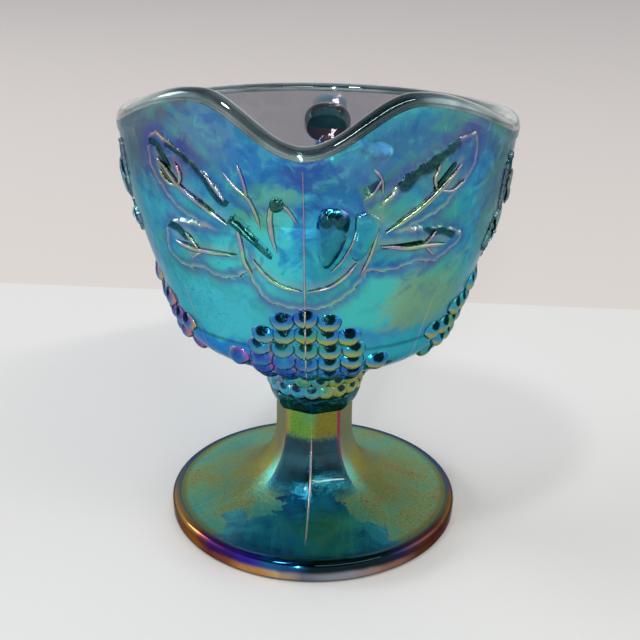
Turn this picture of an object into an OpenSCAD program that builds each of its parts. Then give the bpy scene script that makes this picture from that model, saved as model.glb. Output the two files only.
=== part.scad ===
// Footed creamer in pressed iridescent glass: a round hollow foot, an eight-sided stem,
// a neck of small grapes, a deep bowl with a pouring spout, and a loop handle behind.
// Millimetres. +Z is up, the spout points along -Y, the handle along +Y.
// The origin is the centre of the circle the foot stands on.

/* [Foot and stem] */
// Radius of the foot across its widest line
foot_r = 36.8; // [30:0.1:45]
// Height of the upright edge band of the foot
foot_edge_h = 5.2; // [4:0.1:7]
// Distance from the stem axis to an edge of the eight-sided stem
stem_r = 9.9; // [8:0.1:13]
// Height where the stem ends and the collar begins
stem_top = 30.5; // [26:0.5:34]

/* [Bowl] */
// Height where the neck opens into the underside of the bowl
neck_top = 45.5; // [42:0.5:48]
// Radius of the neck where it meets the bowl
neck_r = 17; // [14:0.5:20]
// Height where the underside turns up into the wall
shoulder_z = 55; // [52:0.5:58]
// Radius of the bowl at that turn
shoulder_r = 33.2; // [30:0.1:36]
// Outside radius of the bowl at its rim
rim_r = 45.3; // [40:0.1:50]
// Height of the middle of the rim bead at the sides and back
rim_z = 102; // [95:0.5:110]
// Thickness of the side wall
wall = 3.4; // [2.5:0.1:4.5]
// Height of the middle of the bowl floor inside
floor_z = 52.5; // [50:0.5:55]

/* [Spout and rim] */
// How far the two ears beside the spout stand above the rest of the rim
ear_rise = 9.2; // [4:0.2:14]
// Angle from the spout to the top of each ear
ear_angle = 28; // [20:1:36]
// Angle over which each ear runs back down to the level rim
ear_run = 50; // [35:1:60]
// How far the spout stands out in front of the round rim
spout_out = 3.4; // [2:0.2:6]
// Radius of the rim bead
bead_r = 2.1; // [1.6:0.1:2.8]

/* [Handle] */
// How far the handle stands out behind the bowl wall
handle_out = 24; // [18:1:30]
// Width of the handle from side to side
handle_w = 10.5; // [7:0.5:13]
// Thickness of the handle strap
handle_t = 7; // [5:0.5:9]

/* [Relief] */
// Radius of one grape of the clusters
grape_r = 2.45; // [1.8:0.05:3]
// Radius of one grape of the neck rows
bead_grape_r = 2.05; // [1.6:0.05:2.6]
// How far the leaves stand off the wall
leaf_h = 0.9; // [0.5:0.1:1.5]
// How far the veins stand off the leaves
vein_h = 0.6; // [0.3:0.1:1]
// Width of a vein
vein_w = 1.1; // [0.8:0.1:1.6]

/* [Hidden] */
$fn = 96;
bead_in = wall / 2;
spout_z = 88;
spout_r0 = 12;
spout_grow = (spout_out + 2.1) / 15;
spout_y = -31.2;

// A point on a four-point curve
function mixn(t, a, b, c, d) =
  a * pow(1 - t, 3) + 3 * b * t * pow(1 - t, 2) + 3 * c * t * t * (1 - t) + d * pow(t, 3);
function curve(p, n) = [for (i = [0 : n]) mixn(i / n, p[0], p[1], p[2], p[3])];

// Outer outline of the bowl, [radius, height], in two runs
under_pts = [[neck_r, neck_top], [neck_r + 8, neck_top + 1.5],
  [shoulder_r - 1.7, shoulder_z - 4.5], [shoulder_r, shoulder_z]];
side_pts = [[shoulder_r, shoulder_z], [shoulder_r + 3.8, shoulder_z + 11],
  [rim_r - 1.3, rim_z - 20], [rim_r, rim_z + 1]];
under = curve(under_pts, 6);
side = curve(side_pts, 9);
top_z = rim_z + ear_rise + 6;

// Inner outline
in_r = shoulder_r - wall - 0.3;
in_z = shoulder_z + 3.5;
inner_floor = curve([[0, floor_z], [in_r * 0.55, floor_z], [in_r * 0.85, floor_z + 0.5],
  [in_r, in_z]], 6);
inner_side = curve([[in_r, in_z], [in_r + 3.8, in_z + 9.5], [rim_r - wall - 1.5, rim_z - 18],
  [rim_r - wall, rim_z + 1]], 9);

// Radius of the outside of the body at a height, and its outward direction there
collar_h = 4.4;
neck_z = stem_top + collar_h;
neck_pts = [[stem_r + 0.8, neck_z], [stem_r + 1.3, neck_z + 3.2], [neck_r - 4, neck_top - 4.4],
  [neck_r, neck_top]];
neck = curve(neck_pts, 6);
body = [for (p = neck) [p[1], p[0]], for (i = [1 : 6]) [under[i][1], under[i][0]],
  for (i = [1 : 9]) [side[i][1], side[i][0]]];
function body_r(z) = lookup(z, body);
function body_n(z) = let (d = [body_r(z + 0.4) - body_r(z - 0.4), 0.8]) [d[1], -d[0]] / norm(d);

// Height of the middle of the rim bead, and its radius, at an angle from the spout
function ease(t) = t <= 0 ? 0 : t >= 1 ? 1 : t * t * (3 - 2 * t);
function ear(a) = abs(a) < ear_angle ? ease(abs(a) / ear_angle)
  : 1 - ease((abs(a) - ear_angle) / ear_run);
function rim_h(a) = rim_z + ear_rise * ear(a);
function rim_c(a) = rim_r - bead_in - 0.25 + spout_out * exp(-pow(a / 15, 2));

module glass() { color([0.10, 0.45, 0.50, 0.8]) children(); }
module film() { color([0.20, 0.60, 0.68]) children(); }
module grape_film() { color([0.12, 0.36, 0.62]) children(); }
module gold_film() { color([0.62, 0.62, 0.25]) children(); }

// ---- foot ----
foot_in = foot_r - 2.2;
foot_top = curve([[0, foot_edge_h + 6.5], [12, foot_edge_h + 6], [foot_in - 11, foot_edge_h + 2],
  [foot_in, foot_edge_h]], 10);

module foot_disc() {
  gold_film() difference() {
    rotate_extrude() polygon(concat(foot_top, [[foot_in, 0.6], [0, 0.6]]));
    rotate_extrude() polygon(concat([[0, 0]],
      curve([[0, 7.4], [13, 7.2], [23, 4], [foot_in - 3, 0]], 8)));
    translate([0, 0, -1]) cylinder(r = foot_in - 3, h = 1.7);
  }
}

module foot_edge() {
  gold_film() rotate_extrude() union() {
    translate([foot_in - 2.6, 0]) square([2.6 + 0.8, 0.6]);
    translate([foot_in, 0]) square([0.8, foot_edge_h]);
    intersection() {
      translate([foot_r - 1.4, 0]) union() {
        translate([0, 1.4]) circle(r = 1.4);
        translate([0, foot_edge_h - 1.4]) circle(r = 1.4);
        translate([0, 1.4]) square([1.4, foot_edge_h - 2.8]);
      }
      translate([foot_in + 0.8, 0]) square([3, foot_edge_h]);
    }
  }
}

// ---- stem: eight flats, flaring into the foot ----
flat_r = stem_r * cos(22.5);
flare_r = 22;
stem_flare = curve([[flat_r, stem_top - 6], [flat_r + 0.3, stem_top - 14],
  [flat_r + 3.2, foot_edge_h + 6], [flare_r, foot_edge_h + 1]], 10);

module stem_slab() {
  rotate([90, 0, 0]) translate([0, 0, -40]) linear_extrude(80)
    polygon(concat([[flat_r, stem_top]], stem_flare,
      [for (i = [10 : -1 : 0]) [-stem_flare[i][0], stem_flare[i][1]]], [[-flat_r, stem_top]]));
}

module stem() {
  gold_film() difference() {
    intersection() {
      rotate([0, 0, 22.5]) stem_slab();
      rotate([0, 0, 67.5]) stem_slab();
      rotate([0, 0, 112.5]) stem_slab();
      rotate([0, 0, 157.5]) stem_slab();
    }
    rotate_extrude() polygon(concat(foot_top, [[foot_in, 0], [0, 0]]));
  }
}

// ---- collar and neck ----
module collar_solid() {
  rotate([0, 0, 90]) translate([0, 0, stem_top])
    cylinder(r1 = stem_r + 0.5, r2 = stem_r + 2.1, h = collar_h, $fn = 8);
}

module collar() { glass() collar_solid(); }

module neck() {
  glass() rotate_extrude() polygon(concat([[0, neck_z]], neck, [[0, neck_top]]));
}

// A grape set in the outside of the body, at an angle from the spout and a height
module grape(a, z, r) {
  n = body_n(z);
  rotate([0, 0, a]) translate([0, -(body_r(z) - n[0] * r * 0.28), z - n[1] * r * 0.28])
    sphere(r = r, $fn = 32);
}

module body_solid() {
  rotate_extrude() polygon(concat([[0, neck_z]], neck, [for (i = [1 : 6]) under[i]],
    [for (i = [1 : 9]) side[i]], [[0, rim_z + 1]]));
}

module neck_grapes() {
  glass() difference() {
    union() {
      for (k = [0 : 19]) grape(18 * k, 37.2, bead_grape_r);
      for (k = [0 : 19]) grape(18 * k + 9, 40.8, bead_grape_r + 0.15);
      for (k = [0 : 23]) grape(15 * k, 44.2, bead_grape_r + 0.3);
    }
    body_solid();
    collar_solid();
  }
}

// ---- bowl ----
module bowl_floor() {
  film() rotate_extrude() polygon(concat([[0, neck_top]], under, [for (i = [6 : -1 : 0])
    inner_floor[i]]));
}

module rim_cut() {
  steps = 30;
  reach = rim_r + 10;
  rotate([90, 0, 0]) linear_extrude(reach)
    polygon(concat([for (i = [-steps : steps]) [(rim_r - 0.5) * sin(90 * i / steps),
      rim_h(90 * i / steps) - 1.2]], [[reach, rim_z - 1.2], [reach, top_z + 20],
      [-reach, top_z + 20], [-reach, rim_z - 1.2]]));
  translate([-reach, -0.01, rim_z - 1.2]) cube([2 * reach, reach, 40]);
}

module spout_core(grow) {
  translate([0, spout_y, spout_z])
    cylinder(r1 = spout_r0 + grow, r2 = spout_r0 + 30 * spout_grow + grow, h = 30);
}

module wall_outer(grow) {
  rotate_extrude() polygon(concat([[0, shoulder_z]], [for (p = side) [p[0] + grow, p[1]]],
    [[rim_r + grow, top_z], [0, top_z]]));
}

module wall_inner() {
  rotate_extrude() polygon(concat([[0, in_z - 8]], [[in_r, in_z - 8]], inner_side,
    [[rim_r - wall, top_z + 1], [0, top_z + 1]]));
}

module bowl_wall() {
  film() difference() {
    wall_outer(0);
    rotate_extrude() polygon(concat(inner_side, [[rim_r - wall, top_z + 1], [0, top_z + 1],
      [0, shoulder_z - 1], [shoulder_r, shoulder_z - 1], [shoulder_r, shoulder_z]]));
    spout_core(-wall);
    rim_cut();
  }
}

module spout() {
  film() difference() {
    spout_core(0);
    spout_core(-wall);
    wall_outer(0);
    wall_inner();
    rim_cut();
  }
}

// The rim bead runs along the ears and the spout; its underside is flat on the wall.
bead_n = 120;
bead_k = 11;
function bead_pt(a, b) = let (c = rim_c(a) + bead_r * cos(b))
  [c * sin(a), -c * cos(a), rim_h(a) + bead_r * sin(b)];

module rim_bead() {
  pts = [for (i = [0 : bead_n - 1]) for (j = [0 : bead_k - 1])
    bead_pt(360 * i / bead_n - 180, -34 + 248 * j / (bead_k - 1))];
  faces = [for (i = [0 : bead_n - 1]) for (j = [0 : bead_k - 1])
    [i * bead_k + j, i * bead_k + (j + 1) % bead_k,
     ((i + 1) % bead_n) * bead_k + (j + 1) % bead_k, ((i + 1) % bead_n) * bead_k + j]];
  glass() polyhedron(points = pts, faces = faces, convexity = 8);
}

// ---- handle ----
h_top = 93;
h_low = 67;
h_mid = (h_top + h_low) / 2;
h_bend = (h_top - h_low) / 2;
h_back = rim_r + handle_out - h_bend - handle_t / 2;

module strap_section() {
  square([handle_t, handle_w - handle_t], center = true);
  for (s = [-1, 1]) translate([0, s * (handle_w - handle_t) / 2]) circle(d = handle_t);
}

module loop() {
  translate([0, h_back, h_mid]) rotate([0, 90, 0]) rotate_extrude(angle = 180)
    translate([h_bend, 0]) strap_section();
  for (z = [h_top, h_low]) translate([0, h_back, z]) rotate([90, 0, 0]) rotate([0, 0, 90])
    linear_extrude(h_back - 34) strap_section();
}

// The flared ends where the handle runs into the wall
module root_solids() {
  for (z = [h_top, h_low]) translate([0, body_r(z) - 3, z]) rotate([-90, 0, 0])
    cylinder(r1 = handle_w / 2 + 2.2, r2 = handle_w / 2 + 0.3, h = 6);
}

module handle() {
  glass() difference() {
    loop();
    wall_outer(0);
    root_solids();
  }
}

module handle_roots() {
  glass() difference() {
    root_solids();
    wall_outer(0);
  }
}

// ---- grape clusters ----
module cluster(a0, rows) {
  grape_film() difference() {
    union() for (w = rows) for (i = [0 : w[1] - 1])
      grape(a0 + (i - (w[1] - 1) / 2) * w[2], w[0] + abs(i - (w[1] - 1) / 2) * w[3], grape_r);
    body_solid();
    children();
  }
}

// Each row: height, count, step in degrees, rise of its ends
front_rows = [[66, 3, 7.6, -0.9], [61.8, 5, 7.4, -0.6], [57.6, 5, 8.6, -1.1],
  [53.6, 4, 8.8, 0.4], [50.2, 5, 9.2, 0.3], [47.6, 5, 11, 0]];
side_rows = [[67, 5, 7.2, -0.5], [62.8, 8, 7.2, -0.2], [58.6, 11, 7.4, 0],
  [54.6, 8, 7.8, 0], [50.8, 7, 9, 0], [47.6, 5, 11.5, 0]];
back_rows = [[57, 5, 8, 0], [53.2, 6, 8, 0.2], [50, 5, 9.2, 0.2], [47.6, 5, 11, 0]];

module front_grapes() { cluster(0, front_rows) { neck_solids(); } }
module left_grapes() { cluster(-90, side_rows) { neck_solids(); } }
module right_grapes() { cluster(90, side_rows) { neck_solids(); } }
module back_grapes() { cluster(180, back_rows) { neck_solids(); } }
module neck_solids() {
  for (k = [0 : 23]) grape(15 * k, 44.2, bead_grape_r + 0.3);
}

module lone_grapes() {
  grape_film() difference() {
    for (a = [-27.5, 27.5, 152.5, -152.5]) grape(a, 54.2, grape_r);
    body_solid();
  }
}

// ---- relief on the wall ----
// A flat shape pushed outward through the wall at an angle from the spout
module stamp(a) {
  rotate([0, 0, a]) rotate([90, 0, 0]) linear_extrude(rim_r + 8) children();
}

module skin(t0, t1) {
  difference() {
    union() {
      wall_outer(t1);
      spout_core(t1);
    }
    wall_outer(t0);
    spout_core(t0);
  }
}

module relief(a, t0, t1) {
  film() intersection() {
    stamp(a) children();
    skin(t0, t1);
  }
}

// One toothed leaf lobe from the origin along +X
function tooth(t, n) = 1 + 0.13 * abs(sin(180 * n * t));
module lobe(len, wid, teeth) {
  n = 28;
  top = [for (i = [0 : n]) let (t = i / n)
    [len * t, wid * pow(sin(180 * pow(t, 0.85)), 0.75) * tooth(t, teeth)]];
  polygon(concat(top, [for (i = [n - 1 : -1 : 1]) [top[i][0], -top[i][1]]]));
}

module line(p, q, w) {
  d = q - p;
  translate(p) rotate(atan2(d[1], d[0])) {
    translate([0, -w / 2]) square([norm(d), w]);
    circle(d = w, $fn = 24);
    translate([norm(d), 0]) circle(d = w, $fn = 24);
  }
}

module shield() {
  n = 24;
  right = [for (i = [0 : n]) let (t = i / n)
    [12.4 * pow(sin(180 * pow(t, 0.72)), 0.7) * tooth(t, 4), 88.5 - 18.3 * t]];
  polygon(concat(right, [for (i = [n - 1 : -1 : 1]) [-right[i][0], right[i][1]]]));
}

module upper_lobe() { translate([9.6, 86.5]) rotate(143) lobe(26, 5.8, 5); }
module lower_lobe() { translate([11, 81]) rotate(183) lobe(23, 5, 5); }

module leaf_centre() { relief(0, 0, leaf_h) shield(); }
module leaf_upper_left() {
  difference() { relief(-33, 0, leaf_h) upper_lobe(); stamp(0) shield(); }
}
module leaf_lower_left() {
  difference() {
    relief(-34, 0, leaf_h) lower_lobe();
    stamp(0) shield();
    stamp(-33) upper_lobe();
  }
}
module leaf_upper_right() { mirror([1, 0, 0]) leaf_upper_left(); }
module leaf_lower_right() { mirror([1, 0, 0]) leaf_lower_left(); }

// Two plump folds of the middle leaf, one on each side of the seam
module fold_shape() {
  for (s = [-1, 1]) translate([s * 5.6, 84.5]) rotate(s * 8) scale([0.5, 1]) circle(r = 7.4);
}
module leaf_folds() { relief(0, leaf_h, leaf_h + 1) fold_shape(); }

module one_side_veins() {
  relief(-33, leaf_h, leaf_h + vein_h) {
    line([7.5, 88.2], [-6.5, 98.6], vein_w);
    line([-1.5, 94.8], [-1, 99.5], vein_w);
    line([-1.5, 94.8], [-8, 94.3], vein_w);
  }
  relief(-34, leaf_h, leaf_h + vein_h) {
    difference() {
      union() {
        line([8, 81], [-5.5, 80.6], vein_w);
        line([-1.5, 80.6], [-5, 84.2], vein_w);
        line([-1.5, 80.6], [-3, 76.8], vein_w);
      }
      translate([9.6, 86.5]) rotate(143) lobe(26, 5.8, 5);
    }
  }
  difference() {
    relief(0, leaf_h, leaf_h + vein_h) {
      line([-10.5, 79.2], [-5, 75.4], vein_w);
      line([-5, 75.4], [-0.9, 73.6], vein_w);
    }
    stamp(0) fold_shape();
  }
}
module front_veins() {
  one_side_veins();
  mirror([1, 0, 0]) one_side_veins();
}

module one_side_tendrils() {
  relief(-15, 0, leaf_h) difference() {
    union() {
      line([-3.4, 98.6], [0.4, 94], vein_w);
      line([0.2, 99.8], [0.4, 94], vein_w);
      line([0.4, 94], [2, 89.4], vein_w);
    }
  }
}
module front_tendrils() {
  one_side_tendrils();
  mirror([1, 0, 0]) one_side_tendrils();
}

// ---- side leaves ----
module side_leaf() {
  translate([0, 88]) {
    rotate(90) translate([-7, 0]) lobe(20, 7, 5);
    for (s = [-1, 1]) {
      rotate(90 - s * 58) translate([-3, 0]) lobe(20, 6, 5);
      rotate(90 - s * 112) translate([-3, 0]) lobe(19, 5.4, 5);
    }
  }
}
module side_leaf_left() { relief(-90, 0, leaf_h) side_leaf(); }
module side_leaf_right() { relief(90, 0, leaf_h) side_leaf(); }
module side_veins() {
  for (a = [-90, 90]) relief(a, leaf_h, leaf_h + vein_h)
    for (b = [0, 58, -58, 112, -112])
      line([0, 88], [13 * sin(b), 88 + 13 * cos(b)], vein_w);
}

// ---- mould seams ----
module bowl_seams() {
  film() difference() {
    union() {
      intersection() {
        translate([-0.3, -60, 71]) cube([0.6, 60, 40]);
        skin(0, 0.35);
      }
      intersection() {
        translate([-0.3, 0, 60]) cube([0.6, 60, rim_z - 61.2]);
        skin(0, 0.35);
      }
    }
    rim_cut();
    relief(0, 0, leaf_h) shield();
    loop();
    root_solids();
  }
}

module stem_seams() {
  gold_film() difference() {
    for (a = [0, 180]) rotate([0, 0, a]) translate([-0.3, -stem_r - 0.3, stem_top - 6])
      cube([0.6, 4, 6]);
    stem();
  }
}

foot_disc();
foot_edge();
stem();
collar();
neck();
neck_grapes();
bowl_floor();
bowl_wall();
spout();
rim_bead();
handle();
handle_roots();
front_grapes();
left_grapes();
right_grapes();
back_grapes();
lone_grapes();
leaf_centre();
leaf_upper_left();
leaf_upper_right();
leaf_lower_left();
leaf_lower_right();
leaf_folds();
front_veins();
front_tendrils();
side_leaf_left();
side_leaf_right();
side_veins();
bowl_seams();
stem_seams();
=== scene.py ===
import math

import bpy
import numpy as np
from mathutils import Matrix, Vector


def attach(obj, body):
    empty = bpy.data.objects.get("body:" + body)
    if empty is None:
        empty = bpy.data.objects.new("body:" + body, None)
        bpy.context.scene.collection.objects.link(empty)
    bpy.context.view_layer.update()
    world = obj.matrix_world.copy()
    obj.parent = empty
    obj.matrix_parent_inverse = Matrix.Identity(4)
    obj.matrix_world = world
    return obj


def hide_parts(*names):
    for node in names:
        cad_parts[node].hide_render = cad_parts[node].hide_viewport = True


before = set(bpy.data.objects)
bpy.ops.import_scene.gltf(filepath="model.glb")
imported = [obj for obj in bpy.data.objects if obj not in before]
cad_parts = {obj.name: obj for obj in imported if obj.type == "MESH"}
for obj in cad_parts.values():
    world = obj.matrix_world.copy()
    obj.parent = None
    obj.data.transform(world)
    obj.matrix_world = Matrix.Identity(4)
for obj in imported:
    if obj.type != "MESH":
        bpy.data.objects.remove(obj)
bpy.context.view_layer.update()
MM = 0.001

# ---------------------------------------------------------------- camera
camera_data = bpy.data.cameras.new("camera")
camera_data.lens = 56.25
camera_data.sensor_width = 36
camera_data.clip_start = 0.01
camera = bpy.data.objects.new("camera", camera_data)
bpy.context.scene.collection.objects.link(camera)
camera_turn = Matrix.Rotation(math.radians(3.0), 4, "Z")
camera.matrix_world = (
    camera_turn
    @ Matrix.Translation((0.0011, -0.2306, 0.1418))
    @ Matrix.Rotation(math.radians(90 - 21.4), 4, "X")
    @ Matrix.Rotation(math.radians(0.9), 4, "Z")
)
bpy.context.scene.camera = camera
bpy.context.scene.view_settings.view_transform = "Standard"


# ---------------------------------------------------------------- sizes, in millimetres
RIM_R, RIM_Z, WALL = 45.3, 102.0, 3.4
EAR_RISE, EAR_ANGLE, EAR_RUN = 9.2, 28.0, 50.0
SPOUT_OUT, SPOUT_WIDE, SPOUT_LOW = 3.4, 15.0, 86.0
BEAD_R = 2.1
STEM_TOP, COLLAR_H, NECK_TOP, NECK_R = 30.5, 4.4, 45.5, 17.0
STEM_R, FOOT_R, EDGE_H = 9.9, 36.8, 5.2
SHOULDER_R, SHOULDER_Z, FLOOR_Z = 33.2, 55.0, 52.5
NECK_Z = STEM_TOP + COLLAR_H
INNER_R, INNER_Z = SHOULDER_R - WALL - 0.3, SHOULDER_Z + 3.5
FOOT_IN, HEEL_IN, EDGE_ROUND = FOOT_R - 2.2, FOOT_R - 5.2, 1.4
MERGE = 2e-5   # points nearer than this many metres are merged


def bend(points, n):
    """Points along a four-point curve."""
    t = np.linspace(0, 1, n + 1)[:, None]
    a, b, c, d = [np.array(p, float) for p in points]
    return a * (1 - t) ** 3 + 3 * b * t * (1 - t) ** 2 + 3 * c * t * t * (1 - t) + d * t**3


def ease(t):
    t = np.clip(t, 0, 1)
    return t * t * (3 - 2 * t)


NECK = bend([(STEM_R + 0.8, NECK_Z), (STEM_R + 1.3, NECK_Z + 3.2), (NECK_R - 4, NECK_TOP - 4.4),
             (NECK_R, NECK_TOP)], 12)
UNDER = bend([(NECK_R, NECK_TOP), (NECK_R + 8, NECK_TOP + 1.5), (SHOULDER_R - 1.7, SHOULDER_Z - 4.5),
              (SHOULDER_R, SHOULDER_Z)], 14)
SIDE = bend([(SHOULDER_R, SHOULDER_Z), (SHOULDER_R + 3.8, SHOULDER_Z + 11), (RIM_R - 1.3, RIM_Z - 20),
             (RIM_R, RIM_Z + 1)], 64)
FLOOR_IN = bend([(0, FLOOR_Z), (INNER_R - 13.3, FLOOR_Z), (INNER_R - 4.4, FLOOR_Z + 0.5),
                 (INNER_R, INNER_Z)], 16)
SIDE_IN = bend([(INNER_R, INNER_Z), (INNER_R + 3.8, INNER_Z + 9.5), (RIM_R - WALL - 1.5, RIM_Z - 18),
                (RIM_R - WALL, RIM_Z + 1)], 40)
BODY = np.concatenate([NECK, UNDER[1:], SIDE[1:]])


def body_radius(z):
    return np.interp(z, BODY[:, 1], BODY[:, 0])


def inner_radius(z):
    line = np.concatenate([FLOOR_IN, SIDE_IN[1:]])
    return np.interp(z, line[:, 1], line[:, 0])


def ear(a):
    a = np.abs(a)
    return np.where(a < EAR_ANGLE, ease(a / EAR_ANGLE), 1 - ease((a - EAR_ANGLE) / EAR_RUN))


def rim_height(a):
    return RIM_Z + EAR_RISE * ear(a)


def spout_bulge(a, z):
    return SPOUT_OUT * np.exp(-((a / SPOUT_WIDE) ** 2)) * ease((z - SPOUT_LOW) / 16)


def on_wall(a, z, stand):
    """The place at an angle from the spout and a height, standing off the outside of the body."""
    grow = body_radius(z + 0.3) - body_radius(z - 0.3)
    n = np.sqrt(grow**2 + 0.36)
    r = body_radius(z) + spout_bulge(a, z) + stand * 0.6 / n
    t = np.radians(a)
    return np.stack([r * np.sin(t), -r * np.cos(t), z - stand * grow / n], -1) * MM


# ---------------------------------------------------------------- modelling
def fresh():
    if bpy.context.object and bpy.context.object.mode != "OBJECT":
        bpy.ops.object.mode_set(mode="OBJECT")
    bpy.ops.object.select_all(action="DESELECT")


def pick(*pieces):
    """Selects these pieces alone, the first of them active."""
    fresh()
    for piece in pieces:
        piece.select_set(True)
    bpy.context.view_layer.objects.active = pieces[0]


def joined(pieces, name):
    pick(*pieces)
    if len(pieces) > 1:
        bpy.ops.object.join()
    piece = bpy.context.object
    piece.name = name
    return piece


def close_up(piece, near=1e-6, fill=False):
    """Merges doubled points, fills holes where asked, and points the faces outwards."""
    pick(piece)
    bpy.ops.object.mode_set(mode="EDIT")
    bpy.ops.mesh.select_all(action="SELECT")
    bpy.ops.mesh.remove_doubles(threshold=near)
    if fill:
        bpy.ops.mesh.fill_holes(sides=0)
    bpy.ops.mesh.normals_make_consistent(inside=False)
    bpy.ops.object.mode_set(mode="OBJECT")


def points_of(piece):
    co = np.empty(len(piece.data.vertices) * 3)
    piece.data.vertices.foreach_get("co", co)
    return co.reshape(-1, 3)


def move_points(piece, co):
    piece.data.vertices.foreach_set("co", np.asarray(co, float).ravel())
    piece.data.update()


def polar(co):
    """Angle from the spout in degrees, distance from the axis and height, in millimetres."""
    x, y, z = (co / MM).T
    return np.degrees(np.arctan2(x, -y)), np.hypot(x, y), z


def place(a, r, z):
    t = np.radians(a)
    return np.stack([r * np.sin(t), -r * np.cos(t), z], -1) * MM


def lathe(name, outline, segments=192):
    """A ring is drawn at the first point and pulled out along the outline, one extrude a point."""
    fresh()
    r0, z0 = outline[0]
    first = max(r0, 0.01) * MM
    bpy.ops.mesh.primitive_circle_add(vertices=segments, radius=first, location=(0, 0, z0 * MM))
    piece = bpy.context.object
    piece.name = name
    bpy.ops.object.transform_apply(location=True)
    bpy.ops.object.mode_set(mode="EDIT")
    bpy.ops.mesh.select_all(action="SELECT")
    old_r, old_z = first, z0 * MM
    for r, z in outline[1:]:
        r, z = max(r, 0.01) * MM, z * MM
        bpy.ops.mesh.extrude_region_move(TRANSFORM_OT_translate={"value": (0, 0, z - old_z)})
        k = r / old_r
        bpy.ops.transform.resize(value=(k, k, 1), center_override=(0, 0, 0))
        old_r, old_z = r, z
    bpy.ops.object.mode_set(mode="OBJECT")
    close_up(piece, MERGE, True)
    return piece


def smooth(piece, angle=40):
    pick(piece)
    bpy.ops.object.shade_smooth_by_angle(angle=math.radians(angle), keep_sharp_edges=False)
    return piece


def finish_piece(piece, material, slot, *nodes):
    piece.data.materials.clear()
    for m in material if isinstance(material, (list, tuple)) else [material]:
        piece.data.materials.append(m)
    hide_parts(*nodes)
    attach(piece, "root")
    return piece


def write_marks(piece, name, values):
    """Stores a three-part value at each point for the finish to read."""
    layer = piece.data.attributes.new(name, "FLOAT_VECTOR", "POINT")
    layer.data.foreach_set("vector", np.asarray(values, np.float32).ravel())


# ---------------------------------------------------------------- finishes
class Flow:
    """A shader socket that takes part in Python sums."""

    def __init__(self, finish, socket):
        self.finish, self.socket = finish, socket

    def _sum(self, operation, other, turned=False):
        pair = (other, self) if turned else (self, other)
        return self.finish.maths(operation, *pair)

    def __add__(self, other):
        return self._sum("ADD", other)

    def __radd__(self, other):
        return self._sum("ADD", other, True)

    def __sub__(self, other):
        return self._sum("SUBTRACT", other)

    def __rsub__(self, other):
        return self._sum("SUBTRACT", other, True)

    def __mul__(self, other):
        return self._sum("MULTIPLY", other)

    def __rmul__(self, other):
        return self._sum("MULTIPLY", other, True)

    def __truediv__(self, other):
        return self._sum("DIVIDE", other)

    def __neg__(self):
        return self._sum("MULTIPLY", -1.0)

    def __abs__(self):
        return self.finish.maths("ABSOLUTE", self)

    def above(self, other):
        return self._sum("MAXIMUM", other)

    def below(self, other):
        return self._sum("MINIMUM", other)

    def clip(self):
        return self.above(0.0).below(1.0)

    def step(self, low, high):
        """0 at low, 1 at high, eased between."""
        return self.finish.add("ShaderNodeMapRange", {"interpolation_type": "SMOOTHSTEP"},
                               {"Value": self, "From Min": low, "From Max": high})

    def swing(self, size):
        """A noise's sway about its middle, in all as wide as size."""
        return (self - 0.5) * size

    def bump(self, middle, width):
        """1 at middle, falling to 0 a width away."""
        away = (self - middle) / width
        return (1.0 - away * away).above(0.0)


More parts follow.
